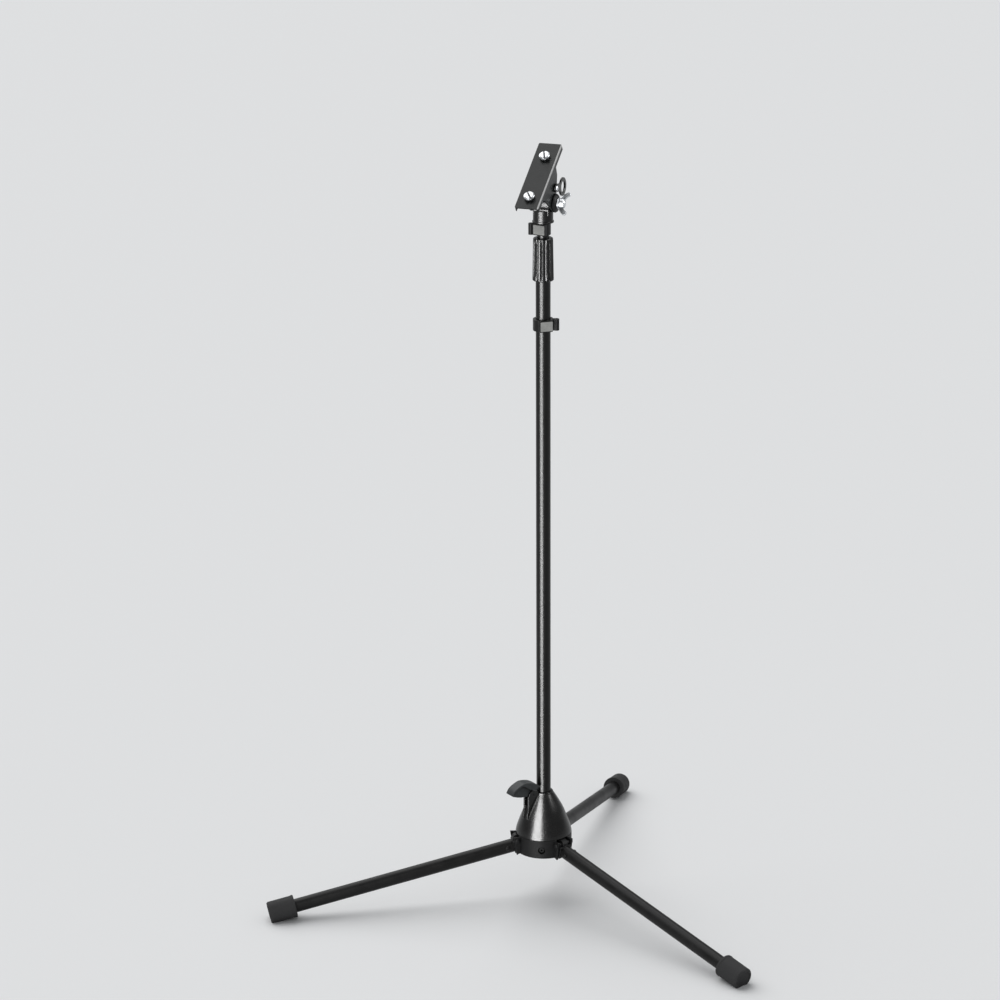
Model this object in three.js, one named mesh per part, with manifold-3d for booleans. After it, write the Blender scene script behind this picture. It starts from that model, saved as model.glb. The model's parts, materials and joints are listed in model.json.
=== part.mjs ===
// A folding tripod stand with a tilting plate for a small desktop unit.
// Millimetres, +Z up, floor at z = 0, column on the Z axis. The rest pose is the stand opened, at its lowest.
import * as THREE from "three";
import { mergeVertices } from "three/addons/utils/BufferGeometryUtils.js";
import Module from "manifold-3d";

const wasm = await Module();
wasm.setup();

// ---------------------------------------------------------------- driving dimensions
const FINE = 36; // sides of a large round piece
const MEDIUM = 24; // sides of a tube, foot or stud
const SMALL = 12; // sides of a pin, rivet or small hole
const ARC_STEPS = 6; // straight lines along each curve of a flat outline
const FACE_GAP = 0.3; // air between pieces that rest on each other
const HOLE_GAP = 0.12; // radial air round a tube or pin
const RIVET_GAP = 0.15; // radial air round a rivet, stud or bolt

const COLUMN = { r: 10, wall: 1.5, bottom: 75.6, top: 909 };
const FOOT_PLUG = { low: 73, high: 88 };
const MAST = { r: 8, wall: 1.2, bottom: 190, top: 972 };
const MAST_BUSH = { low: 178, high: 204 };
const HEAD_STUD = { low: 950, shoulder: 974.7, top: 988, r: 4.7 };

const LEG = {
  azimuths: [191.8, 311.8, 71.8], // degrees, seen from above
  slope: 11.3, // degrees below level
  axisHeight: 89.15, // where the leg's axis meets the column's
  r: 9.5,
  wall: 1.5,
  start: 6.5, // from the pivot to the tube's inner end
  footRadius: 374.2, // from the column's axis to the middle of the foot
};
const PIVOT = { r: 40.5, z: 91.5, pinR: 2.5 };
const RIVET = { along: 15, lift: 1.5, r: 1.95, holeR: 3.6 };
const FORK = { inner: 10.25, outer: 13.75, low: 72.2, high: 94.8 };
const FOOT = { r: 16, length: 38, overhang: 4 };

const HUB = { r: 39.5, bore: 36.2, bottom: 72.2, top: 98.6, floor: 3, bossR: 15.5, bossTop: 94.6 };
const STOP = { near: 29.5, far: 31.5, top: 88 };
const SCREW = { azimuth: 265, z: 84.3, r: 2.4, headR: 3.7, end: 37, boss: 7.2 };

const CONE = { bottom: 98.9, top: 160, boreR: 11.35, skirtR: 35.6, skirtBottom: 95.3, bushLow: 145 };
const LEVER = { azimuth: 214.5, half: 7.8, pinR: 21, pinZ: 160, pin: 1.48, skin: 2.6 };
const EAR = { near: 3.3, far: 6.2 }; // the lever's bracket on the cone, measured across
const RIB = { half: 2.9 };
const PAD = { near: 10.4, far: 12.5, half: 2.9, low: 163.4, high: 168.6 };

const FITTING = { low: 897.6, high: 924, r: 12.4 };
const COLLET = { knee: 930, top: 950.6, r: 12.2, topR: 10.8, slitLow: 932, slit: 1.2 };
const GRIP = { bottom: 896, top: 954.4, rBottom: 14.4, rTop: 13.5, flutes: 14, fluteDepth: 1.3, perFlute: 4 };
const LOWER_CLIP = {
  tubeR: COLUMN.r, ringR: 13.9, low: 827.5, high: 843.5, padAzimuth: 288, padHalf: 9,
  eye: { x: 18, y: -1.5, r: 3.6 },
};
const UPPER_CLIP = {
  tubeR: MAST.r, ringR: 10.4, low: 958.5, high: 974.2, padAzimuth: 238, padHalf: 9,
  eye: { x: -16.2, y: 0, r: 3.5 },
};
const CABLE_R = 1.7;

const SOCKET = { bottom: 975.2, top: 992, r: 13.5, ringR: 14.5, ringHeight: 2.2, holeTop: 988.6 };
const TILT_AXIS_Z = 1002;
const HEAD_YAW = -20.5; // degrees
const PLATE_TILT = 35; // degrees from level
const BARREL = { r: 12.5, half: 11.8 };
const DISC = { near: 12.1, far: 14, r: 9.5 };
const PLATE = { half: 16.4, low: -51, high: 66, face: 43, thick: 2.1, flange: 7.5, corner: 3 };
const STUDS = { low: -33, high: 40, neckR: 4.6, footR: 6.4, slotLow: 35, slotHigh: 20 };
const BOLT = { r: 4, end: 31 };
const CAP = { near: 16.8, far: 21.2 };
const WASHER = { near: 21.5, far: 22.8, r: 7.6 };
const WING = { near: 23.1, far: 30.2, half: 1.3, lean: 50 }; // lean: degrees from the plate's normal
const EYE = {
  rivet: { y: 11, z: 17, r: 1.75 },
  centre: { y: 31, z: -0.8 },
  r: 12.4, hole: 7.6, tabR: 5.2, near: 16.8, far: 19.4,
};

// ---------------------------------------------------------------- solids
const deg = THREE.MathUtils.degToRad;

// A closed three.js geometry as a manifold-3d solid, turned right side out.
function solid(geometry) {
  const bare = geometry.index ? geometry.toNonIndexed() : geometry.clone();
  bare.deleteAttribute("normal");
  bare.deleteAttribute("uv");
  const merged = mergeVertices(bare, 1e-3);
  const vertProperties = merged.attributes.position.array;
  const make = (triVerts) => new wasm.Manifold(new wasm.Mesh({ numProp: 3, vertProperties, triVerts }));
  const triangles = Uint32Array.from(merged.index.array);
  const made = make(triangles);
  return made.volume() > 0 ? made : make(triangles.reverse());
}

const join = (...solids) => solids.reduce((all, next) => all.add(next));
const cut = (base, ...tools) => tools.reduce((left, tool) => left.subtract(tool), base);

// A profile of [radius, height] points turned about Z.
function turned(profile, sides = FINE) {
  const points = profile.map(([r, z]) => new THREE.Vector2(r, z));
  if (points[0].x > 0 || points.at(-1).x > 0) points.push(points[0].clone());
  return solid(new THREE.LatheGeometry(points, sides).rotateX(Math.PI / 2));
}

const ring = (outer, inner, low, high, sides = FINE) =>
  turned([[inner, low], [outer, low], [outer, high], [inner, high]], sides);
const rod = (r, low, high, sides = SMALL) => turned([[0, low], [r, low], [r, high], [0, high]], sides);

function box(x0, x1, y0, y1, z0, z1) {
  const body = new THREE.BoxGeometry(x1 - x0, y1 - y0, z1 - z0);
  return solid(body.translate((x0 + x1) / 2, (y0 + y1) / 2, (z0 + z1) / 2));
}

const shapeOf = (outline) =>
  outline instanceof THREE.Shape ? outline : new THREE.Shape(outline.map(([x, y]) => new THREE.Vector2(x, y)));

// An outline in the X-Y plane, made into a plate from z = low to z = high.
function plan(outline, low, high) {
  const settings = { depth: high - low, bevelEnabled: false, curveSegments: ARC_STEPS };
  return solid(new THREE.ExtrudeGeometry(shapeOf(outline), settings).translate(0, 0, low));
}

const moved = (body, matrix) => body.transform(matrix.elements);
const about = (axis, degrees) => new THREE.Matrix4().makeRotationAxis(axis, deg(degrees));
const X = new THREE.Vector3(1, 0, 0);
const Y = new THREE.Vector3(0, 1, 0);
const Z = new THREE.Vector3(0, 0, 1);
const turn = (body, degrees) => moved(body, about(Z, degrees));
const alongX = (body) => moved(body, about(Y, 90)); // Z becomes X
const alongY = (body) => moved(body, about(X, -90)); // Z becomes Y
const shift = (body, x, y, z) => moved(body, new THREE.Matrix4().makeTranslation(x, y, z));
const swapAxes = new THREE.Matrix4().makeBasis(Y, Z, X); // page X and Y become Y and Z
const mirrorZ = ([r, z]) => [r, -z];

// An outline in the X-Z plane, made into a slab from y = near to y = far.
const slab = (outline, near, far) => moved(plan(outline, -far, -near), about(X, 90));
// The same slab on both sides of the X-Z plane.
const slabPair = (outline, near, far) => join(slab(outline, near, far), slab(outline, -far, -near));
// An outline in the Y-Z plane, made into a slab from x = near to x = far.
const sideSlab = (outline, near, far) => moved(plan(outline, near, far), swapAxes);

// ---------------------------------------------------------------- materials
const finish = (color, roughness, metalness) => new THREE.MeshStandardMaterial({ color, roughness, metalness });
const material = {
  gloss_black: finish(0x0d0d0d, 0.25, 0.2),
  cast_black: finish(0x2a2a2b, 0.6, 0.1),
  moulded_black: finish(0x17171a, 0.45, 0),
  rubber: finish(0x3a3a3b, 0.85, 0),
  nickel: finish(0xc9c9c6, 0.25, 1),
  label: finish(0xcfd0cc, 0.4, 0.4),
  nylon: finish(0xd8d6cc, 0.6, 0),
};

const stand = new THREE.Group();

function add(name, body, slot, group = stand) {
  const mesh = body.getMesh();
  const geometry = new THREE.BufferGeometry();
  geometry.setAttribute("position", new THREE.BufferAttribute(new Float32Array(mesh.vertProperties), 3));
  geometry.setIndex(new THREE.BufferAttribute(mesh.triVerts, 1));
  geometry.computeVertexNormals();
  const made = new THREE.Mesh(geometry, material[slot].clone());
  made.name = name;
  group.add(made);
}

// ---------------------------------------------------------------- hub
const pivotHole = (half) => shift(alongY(rod(PIVOT.pinR + HOLE_GAP, -half, half, MEDIUM)), PIVOT.r, 0, PIVOT.z);

// The two walls of one leg's fork, which flare out into a lip at the top.
function fork() {
  const outline = [
    [HUB.bossR - 2, FORK.low],
    [38, FORK.low],
    [41.5, 70.2],
    [45.8, 96.9],
    [39.8, 96.4],
    [37, 96.4],
    [CONE.skirtR + 0.4, FORK.high],
    [HUB.bossR - 2, FORK.high],
  ];
  return slabPair(outline, FORK.inner, FORK.outer);
}

function hubBand() {
  return turned([
    [HUB.bore, HUB.bottom],
    [HUB.r - 1, HUB.bottom],
    [HUB.r, HUB.bottom + 1],
    [HUB.r, HUB.top],
    [HUB.bore, HUB.top],
  ]);
}

function screwHole() {
  const thread = rod(SCREW.r + 0.2, COLUMN.r - 2, SCREW.end);
  const mouth = rod(SCREW.headR + 0.3, SCREW.end - 5, SCREW.end + 5);
  return turn(shift(alongX(join(thread, mouth)), 0, 0, SCREW.z), SCREW.azimuth);
}

function legHub() {
  const floor = rod(HUB.r - 1.5, HUB.bottom, HUB.bottom + HUB.floor, FINE);
  const boss = rod(HUB.bossR, HUB.bottom, HUB.bossTop, FINE);
  const screwBoss = box(9, HUB.bore + 1, -6.5, 6.5, HUB.bottom, SCREW.z + SCREW.boss);
  let body = join(hubBand(), floor, boss, turn(screwBoss, SCREW.azimuth));
  const stop = box(STOP.near, STOP.far, -FORK.outer, FORK.outer, HUB.bottom, STOP.top);
  const gap = box(STOP.far, 60, -FORK.inner, FORK.inner, 60, 110);
  for (const azimuth of LEG.azimuths) {
    body = join(body, turn(join(fork(), stop), azimuth));
    body = cut(body, turn(join(gap, pivotHole(20)), azimuth));
  }
  const columnHole = rod(COLUMN.r + HOLE_GAP, COLUMN.bottom - FACE_GAP, 120, FINE);
  const plugHole = rod(COLUMN.r - COLUMN.wall, 60, 80, FINE);
  return cut(body, columnHole, plugHole, screwHole());
}

function setScrew() {
  const screw = join(rod(SCREW.r, COLUMN.r + 0.4, 33), rod(SCREW.headR, 32.4, SCREW.end));
  const hexSocket = rod(1.7, 34.6, 40, 6);
  return turn(shift(alongX(cut(screw, hexSocket)), 0, 0, SCREW.z), SCREW.azimuth);
}

function footPlug() {
  return rod(COLUMN.r - COLUMN.wall - 0.2, FOOT_PLUG.low, FOOT_PLUG.high, MEDIUM);
}

// ---------------------------------------------------------------- legs
// Leg pieces are made in the vertical plane of the leg: X away from the column, Z up.
const slope = deg(LEG.slope);
const fromPivot = new THREE.Matrix4().makeTranslation(PIVOT.r, 0, PIVOT.z).multiply(about(Y, LEG.slope));
// How far the leg's axis passes under the pivot, and how far out the foot's middle lies along it.
const axisDrop = (PIVOT.z - LEG.axisHeight) * Math.cos(slope) + PIVOT.r * Math.sin(slope);
const footHeight = LEG.axisHeight - LEG.footRadius * Math.tan(slope);
const footAlong = (LEG.footRadius - PIVOT.r) * Math.cos(slope) + (PIVOT.z - footHeight) * Math.sin(slope);
const tubeEnd = footAlong + FOOT.length / 2 - FOOT.overhang;
const onLegAxis = (body) => moved(shift(alongX(body), 0, 0, -axisDrop), fromPivot);
const acrossLeg = (body) => moved(shift(alongY(body), RIVET.along, 0, RIVET.lift - axisDrop), fromPivot);

// The tube, with holes cut wide enough for the cones of the rivet's heads.
function legTube() {
  const tube = onLegAxis(ring(LEG.r, LEG.r - LEG.wall, LEG.start, tubeEnd, MEDIUM));
  return cut(tube, acrossLeg(rod(RIVET.holeR, -12, 12)));
}

function knuckleBlock() {
  const end = LEG.start - FACE_GAP;
  const top = LEG.r - 1 - axisDrop;
  const bottom = 0.3 - LEG.r - axisDrop;
  const block = slab([[end, top], [-6.9, top], [-5.4, -17.6], [-2.5, bottom], [end, bottom]], -9.8, 9.8);
  const nose = [[4.6, 2.5], [2.2, 5.2], [-1.4, 6], [-5.55, 4.25], [-5.4, 1]];
  const lug = slab([[end - 1, top - 1], ...nose, [-6.6, top - 1]], -4.5, 4.5);
  return join(block, lug);
}

function legKnuckle() {
  const plug = rod(LEG.r - LEG.wall - RIVET_GAP, LEG.start - 2, 32, MEDIUM);
  const shoulder = rod(LEG.r + 0.2, LEG.start - 5, LEG.start - FACE_GAP, MEDIUM);
  const body = join(moved(knuckleBlock(), fromPivot), onLegAxis(join(plug, shoulder)));
  return cut(body, pivotHole(20), acrossLeg(rod(RIVET.r + RIVET_GAP, -20, 20)));
}

function legRivet() {
  const shank = rod(RIVET.r, -8.7, 8.7);
  const head = [[0, 8.6], [RIVET.r, 8.6], [3.4, 9.75], [3.1, 10.6], [1.6, 11.2], [0, 11.35]];
  return acrossLeg(join(shank, turned(head, SMALL), turned(head.map(mirrorZ), SMALL)));
}

function legPin() {
  const shank = rod(PIVOT.pinR, -14.6, 14.6, MEDIUM);
  const head = [[0, 14.05], [3.7, 14.05], [3.2, 15.2], [1.8, 15.8], [0, 16]];
  const whole = join(shank, turned(head, SMALL), turned(head.map(mirrorZ), SMALL));
  return shift(alongY(whole), PIVOT.r, 0, PIVOT.z);
}

function footCap() {
  const inner = footAlong - FOOT.length / 2;
  const outer = footAlong + FOOT.length / 2;
  const body = turned(
    [
      [0, inner],
      [FOOT.r - 0.6, inner],
      [FOOT.r, inner + 1],
      [FOOT.r, inner + 3],
      [FOOT.r - 0.5, inner + 3.6],
      [FOOT.r - 0.3, outer - 2],
      [FOOT.r - 2, outer],
      [FOOT.r - 4.5, outer],
      [FOOT.r - 5.2, outer - 0.9],
      [0, outer - 0.9],
    ],
    MEDIUM,
  );
  const legHole = rod(LEG.r + HOLE_GAP, inner - 5, tubeEnd + FACE_GAP, MEDIUM);
  const belowFloor = box(200, 500, -40, 40, -40, 0);
  return cut(onLegAxis(cut(body, legHole)), belowFloor);
}

// ---------------------------------------------------------------- lock cone and release lever
const CONE_OUTSIDE = [
  [39.4, CONE.bottom],
  [39.4, 99.6],
  [38.6, 104],
  [36.8, 110],
  [34.3, 117],
  [31.2, 125],
  [27.6, 134],
  [22.9, 143],
  [17.6, 152],
  [13.4, 158.6],
  [12.8, CONE.top],
];
const CONE_INSIDE = [
  [CONE.boreR, CONE.bushLow],
  [15.5, CONE.bushLow],
  [20.2, 141],
  [24.6, 133],
  [28.4, 124.5],
  [31.4, 116.5],
  [33.2, 110],
  [33.4, CONE.skirtBottom],
  [CONE.skirtR, CONE.skirtBottom],
  [CONE.skirtR, CONE.bottom],
];
const leverPinHole = () => shift(alongY(rod(LEVER.pin + HOLE_GAP, -10, 10)), LEVER.pinR, 0, LEVER.pinZ);

function lockCone() {
  const shell = turned([...CONE_OUTSIDE, [CONE.boreR, CONE.top], ...CONE_INSIDE]);
  const earRoot = [[13.2, 150], [20.4, 141.4], [26.4, 132], [31, 121.5]];
  const earEdge = [[32.6, 125], [31.8, 133], [30.3, 139], [30.3, 157]];
  const earTop = [[27.6, 163], [24.6, 166], [16, 166], [13.2, 162]];
  const ears = slabPair([...earRoot, ...earEdge, ...earTop], EAR.near, EAR.far);
  const leverSlot = box(13.3, 20, -EAR.near, EAR.near, 151.6, 170);
  return cut(join(shell, turn(ears, LEVER.azimuth)), turn(join(leverSlot, leverPinHole()), LEVER.azimuth));
}

const coneBush = () => ring(CONE.boreR - 0.1, COLUMN.r + 0.1, CONE.bushLow + 0.4, CONE.top + 0.4);

// The lever's side view: its back from the column to the tip.
const LEVER_BACK = [
  [12, 171.8],
  [15.9, 174.6],
  [21.6, 177.8],
  [27.7, 179.6],
  [34.4, 180.8],
  [40.1, 180.6],
  [48.5, 177.3],
  [54.5, 173.4],
  [58.6, 167],
];
const LEVER_RIB = [
  [12.8, 171.8], [27, 178], [34.4, 179], [40, 179], [48, 175.8], [55.8, 169],
  [53, 163.2], [46, 160.6], [40.4, 159.2], [30, 158.2], [26, 155.6], [21, 154.4], [17, 156.1], [15.2, 160],
  [15.2, 163.4], [12.8, 163.4],
];
const LEVER_CHEEK = [
  [13.4, 171.4], [15.6, 168.4], [22, 166.6], [30, 171.4], [37.4, 176.6], [41.6, 178.4],
  [34.4, 179.8], [27.7, 178.6], [21.6, 176.8],
];

function releaseLever() {
  const under = LEVER_BACK.map(([r, z]) => [r, z - LEVER.skin]).reverse();
  under[0] = [56.4, 165.6];
  const skin = slab([...LEVER_BACK, ...under], -LEVER.half, LEVER.half);
  const rib = slab(LEVER_RIB, -RIB.half, RIB.half);
  const cheeks = slabPair(LEVER_CHEEK, EAR.far + 0.4, LEVER.half);
  return turn(cut(join(skin, rib, cheeks), leverPinHole()), LEVER.azimuth);
}

const brakePad = () => turn(box(PAD.near, PAD.far, -PAD.half, PAD.half, PAD.low, PAD.high), LEVER.azimuth);
const leverPin = () =>
  turn(shift(alongY(rod(LEVER.pin, -6.9, 6.9)), LEVER.pinR, 0, LEVER.pinZ), LEVER.azimuth);

// ---------------------------------------------------------------- height clutch
function clutchFitting() {
  const columnBore = COLUMN.r + HOLE_GAP;
  const mastBore = MAST.r + HOLE_GAP;
  return turned(
    [
      [columnBore, FITTING.low],
      [FITTING.r, FITTING.low],
      [FITTING.r, FITTING.high],
      [mastBore, FITTING.high],
      [mastBore, COLUMN.top + FACE_GAP],
      [columnBore, COLUMN.top + FACE_GAP],
    ],
    MEDIUM,
  );
}

function clutchCollet() {
  const bore = MAST.r + HOLE_GAP;
  const low = FITTING.high + FACE_GAP;
  const outside = [[COLLET.r, low], [COLLET.r, COLLET.knee], [COLLET.topR, COLLET.top]];
  const body = turned([[bore, low], ...outside, [bore, COLLET.top]], MEDIUM);
  const slit = box(5, 20, -COLLET.slit / 2, COLLET.slit / 2, COLLET.slitLow, 960);
  return cut(body, slit, turn(slit, 120), turn(slit, 240));
}

// Draws every wall point of a turned body in, where it lies on a groove.
function flute(geometry) {
  const { bottom, top, flutes, fluteDepth, perFlute } = GRIP;
  const position = geometry.attributes.position;
  for (let i = 0; i < position.count; i++) {
    const [x, y, z] = [position.getX(i), position.getY(i), position.getZ(i)];
    const step = Math.round((Math.atan2(y, x) / (2 * Math.PI)) * flutes * perFlute);
    const onWall = z > bottom + 1 && z < top - 1;
    if (!onWall || step % perFlute !== 0) continue;
    const scale = 1 - fluteDepth / Math.hypot(x, y);
    position.setXY(i, x * scale, y * scale);
  }
  return geometry;
}

function clutchGrip() {
  const { bottom, top, rBottom, rTop, flutes, perFlute } = GRIP;
  const profile = [
    [0, bottom],
    [rBottom - 1.8, bottom],
    [rBottom, bottom + 2],
    [rBottom, bottom + 3],
    [rTop, top - 3.5],
    [rTop - 0.4, top - 2.4],
    [rTop - 2.2, top],
    [0, top],
  ].map(([r, z]) => new THREE.Vector2(r, z));
  const outside = solid(flute(new THREE.LatheGeometry(profile, flutes * perFlute).rotateX(Math.PI / 2)));
  const mastHole = MAST.r + 0.5;
  const bore = [[0, bottom - 6], [12.6, bottom - 6], [12.6, COLLET.knee + 0.5], [11.2, COLLET.top + 0.4]];
  const mouth = [[mastHole, COLLET.top + 0.4], [mastHole, top + 6], [0, top + 6]];
  return cut(outside, turned([...bore, ...mouth], MEDIUM));
}

// ---------------------------------------------------------------- cable clips with blank labels
// A ring on a tube, with a flat pad for the label and a small eye beside it for the cable.
function cableClip({ tubeR, ringR, low, high, padAzimuth, padHalf, eye }) {
  const pad = turn(box(0, ringR + 0.2, -padHalf, padHalf, low, high), padAzimuth);
  const eyeBody = shift(rod(eye.r, low, high), eye.x, eye.y, 0);
  const bridgeHalf = eye.r - 0.4;
  const bridge = box(0, Math.hypot(eye.x, eye.y), -bridgeHalf, bridgeHalf, low, high);
  const toEye = THREE.MathUtils.radToDeg(Math.atan2(eye.y, eye.x));
  const body = join(rod(ringR, low, high, MEDIUM), pad, eyeBody, turn(bridge, toEye));
  const tubeHole = rod(tubeR + HOLE_GAP, low - 1, high + 1, FINE);
  return cut(body, tubeHole, shift(rod(CABLE_R, low - 1, high + 1), eye.x, eye.y, 0));
}

function clipLabel({ ringR, low, high, padAzimuth, padHalf }) {
  const half = padHalf - 0.6;
  return turn(box(ringR + 0.5, ringR + 1.1, -half, half, low + 1.5, high - 1.5), padAzimuth);
}

// ---------------------------------------------------------------- upper tube
const MAST_BORE = MAST.r - MAST.wall;

function mastBush() {
  const glide = COLUMN.r - COLUMN.wall - 0.1;
  const shoulder = MAST.bottom - 0.4;
  const plug = MAST_BORE - RIVET_GAP;
  const { low, high } = MAST_BUSH;
  return turned([[0, low], [glide, low], [glide, shoulder], [plug, shoulder], [plug, high], [0, high]], MEDIUM);
}

function headStud() {
  const plug = MAST_BORE - RIVET_GAP;
  const seat = MAST.top + FACE_GAP;
  const { low, shoulder, top, r } = HEAD_STUD;
  const foot = [[0, low], [plug, low], [plug, seat], [MAST.r, seat], [MAST.r, shoulder]];
  return turned([...foot, [r, shoulder], [r, top], [0, top]], MEDIUM);
}

// ---------------------------------------------------------------- head
// Head pieces have X along the tilt axis. The socket's Z is up; the plate's Z is the plate's normal.
const head = new THREE.Group();
head.rotation.z = deg(HEAD_YAW);
stand.add(head);
const tilted = new THREE.Group();
tilted.position.z = TILT_AXIS_Z;
tilted.rotation.x = deg(PLATE_TILT);
head.add(tilted);

const boltHole = (gap) => alongX(rod(BOLT.r + gap, -60, 60, MEDIUM));

function headSocket() {
  const { bottom, top, r, ringR, ringHeight } = SOCKET;
  const round = turned([
    [0, bottom],
    [ringR - 0.6, bottom],
    [ringR, bottom + 0.6],
    [ringR, bottom + ringHeight],
    [r, bottom + ringHeight],
    [r, top - 1.5],
    [r - 1.5, top],
    [0, top],
  ]);
  const neck = box(-11, 11, -9.5, 9.5, top - 4, TILT_AXIS_Z);
  const barrel = shift(alongX(rod(BARREL.r, -BARREL.half, BARREL.half, FINE)), 0, 0, TILT_AXIS_Z);
  const studHole = rod(HEAD_STUD.r + RIVET_GAP, bottom - 5, SOCKET.holeTop, MEDIUM);
  return cut(join(round, neck, barrel), studHole, shift(boltHole(0.25), 0, 0, TILT_AXIS_Z));
}

function frictionDisc(side) {
  const disc = alongX(ring(DISC.r, BOLT.r + 0.25, DISC.near, DISC.far, MEDIUM));
  return shift(side > 0 ? disc : turn(disc, 180), 0, 0, TILT_AXIS_Z);
}

// One cheek of the channel: from the plate's flange down to a round lobe on the tilt axis.
function cheekOutline() {
  const top = PLATE.face - PLATE.flange + 1;
  const shape = new THREE.Shape();
  shape.moveTo(-30, top);
  shape.lineTo(-24, 30);
  shape.absarc(0, 0, BARREL.r - 0.2, deg(200), deg(290), false);
  shape.absarc(0, 0, BARREL.r - 0.2, deg(290), deg(380), false);
  shape.lineTo(29, 24);
  shape.lineTo(32, top);
  return shape;
}

function webOutline() {
  const { half, low, high, corner } = PLATE;
  const corners = [
    [corner - half, low + corner, 180],
    [half - corner, low + corner, 270],
    [half - corner, high - corner, 0],
    [corner - half, high - corner, 90],
  ];
  const shape = new THREE.Shape();
  corners.forEach(([x, y, start]) => shape.absarc(x, y, corner, deg(start), deg(start + 90), false));
  return shape;
}

function mountPlate() {
  const { half, low, high, face, thick, flange } = PLATE;
  const web = plan(webOutline(), face - thick, face);
  const wall = (x) =>
    join(
      box(x, x + thick, low + 1.5, high - 1.5, face - flange, face - thick / 2),
      sideSlab(cheekOutline(), x, x + thick),
    );
  const studHole = (y) => shift(rod(STUDS.neckR + 0.2, 30, 50, MEDIUM), 0, y, 0);
  const rivet = EYE.rivet;
  const rivetHole = shift(alongX(rod(rivet.r + RIVET_GAP, 0, half + 2)), 0, rivet.y, rivet.z);
  const channel = join(web, wall(-half), wall(half - thick));
  return cut(channel, boltHole(RIVET_GAP), rivetHole, studHole(STUDS.low), studHole(STUDS.high));
}

// A shoulder stud with a coin slot, riveted under the plate.
function plateStud(y, slotAngle) {
  const { neckR, footR } = STUDS;
  const under = PLATE.face - PLATE.thick - FACE_GAP;
  const foot = [[0, under - 3], [footR, under - 3], [footR, under], [neckR, under]];
  const cap = [[neckR, 45.6], [7.2, 45.6], [7.4, 46.2], [7.2, 48.4], [5.6, 49.4], [0, 49.6]];
  const slot = turn(box(-1.2, 1.2, -9, 9, 47, 52), slotAngle);
  return shift(cut(turned([...foot, ...cap], MEDIUM), slot), 0, y, 0);
}

function tiltBolt() {
  const seat = -PLATE.half - FACE_GAP;
  const head = [[0, -21.2], [2.6, -20.8], [5.4, -19.4], [6.8, -17.4], [6.8, seat]];
  const { r, end } = BOLT;
  return alongX(turned([...head, [r, seat], [r, end - 0.8], [r - 0.7, end], [0, end]], MEDIUM));
}

function clampCap() {
  const bore = BOLT.r + RIVET_GAP;
  const { near, far } = CAP;
  const outside = [[BARREL.r, near], [BARREL.r, far - 2.9], [BARREL.r - 1.2, far - 1.2], [9, far]];
  return alongX(turned([[bore, near], ...outside, [bore, far]]));
}

const clampWasher = () => alongX(ring(WASHER.r, BOLT.r + RIVET_GAP, WASHER.near, WASHER.far, MEDIUM));

function wingOutline() {
  const wing = new THREE.Shape();
  wing.moveTo(23.6, 5.2);
  wing.lineTo(29.4, 5.2);
  wing.quadraticCurveTo(31, 8.4, 35, 11.6);
  wing.absarc(32.4, 13.6, 3.2, deg(-38), deg(128), false);
  wing.quadraticCurveTo(25, 12.4, 23.6, 5.2);
  return wing;
}

function wingNut() {
  const bore = BOLT.r + RIVET_GAP;
  const { near, far, half, lean } = WING;
  const hub = alongX(turned([[bore, near], [6.6, near], [6.6, near + 1.7], [5.8, far], [bore, far]], MEDIUM));
  const wing = slab(wingOutline(), -half, half);
  const wings = cut(join(wing, moved(wing, about(X, 180))), boltHole(RIVET_GAP));
  return moved(join(hub, wings), about(X, lean - 90 - PLATE_TILT));
}

// ---------------------------------------------------------------- cable eye on the right cheek
function strapOutline(run) {
  const spread = 27; // degrees of the eye's edge on each side of the strap
  const strap = new THREE.Shape();
  strap.absarc(0, 0, EYE.tabR, deg(90), deg(270), false);
  strap.absarc(run, 0, EYE.r, deg(180 + spread), deg(360), false);
  strap.absarc(run, 0, EYE.r, 0, deg(180 - spread), false);
  return strap;
}

function cableEye() {
  const { rivet, centre, hole, near, far } = EYE;
  const run = Math.hypot(centre.y - rivet.y, centre.z - rivet.z);
  const lie = THREE.MathUtils.radToDeg(Math.atan2(centre.z - rivet.z, centre.y - rivet.y));
  const opening = alongX(rod(hole, near - 1, far + 1, MEDIUM));
  const rivetHole = alongX(rod(rivet.r + RIVET_GAP, near - 1, far + 1));
  const flat = cut(sideSlab(strapOutline(run), near, far), shift(opening, 0, run, 0), rivetHole);
  return shift(moved(flat, about(X, lie)), 0, rivet.y, rivet.z);
}

function eyeRivet() {
  const inside = PLATE.half - PLATE.thick;
  const outside = EYE.far + FACE_GAP;
  const { r, y, z } = EYE.rivet;
  const tail = [[0, inside - 1.6], [2.8, inside - 1.5], [2.8, inside - FACE_GAP], [r, inside - FACE_GAP]];
  const cap = [[r, outside], [3.4, outside], [2.8, outside + 1.3], [0, outside + 1.9]];
  return shift(alongX(turned([...tail, ...cap], SMALL)), 0, y, z);
}

// ---------------------------------------------------------------- assembly
add("leg_hub", legHub(), "cast_black");
add("hub_set_screw", setScrew(), "cast_black");
add("column_foot_plug", footPlug(), "moulded_black");
add("lower_tube", ring(COLUMN.r, COLUMN.r - COLUMN.wall, COLUMN.bottom, COLUMN.top), "gloss_black");
add("clutch_fitting", clutchFitting(), "moulded_black");
add("clutch_collet", clutchCollet(), "nylon");

LEG.azimuths.forEach((azimuth, i) => {
  const leg = new THREE.Group();
  leg.rotation.z = deg(azimuth);
  stand.add(leg);
  const n = i + 1;
  add("leg_pin_" + n, legPin(), "cast_black", leg);
  add("leg_knuckle_" + n, legKnuckle(), "cast_black", leg);
  add("leg_tube_" + n, legTube(), "gloss_black", leg);
  add("leg_rivet_" + n, legRivet(), "gloss_black", leg);
  add("foot_cap_" + n, footCap(), "rubber", leg);
});

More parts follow.
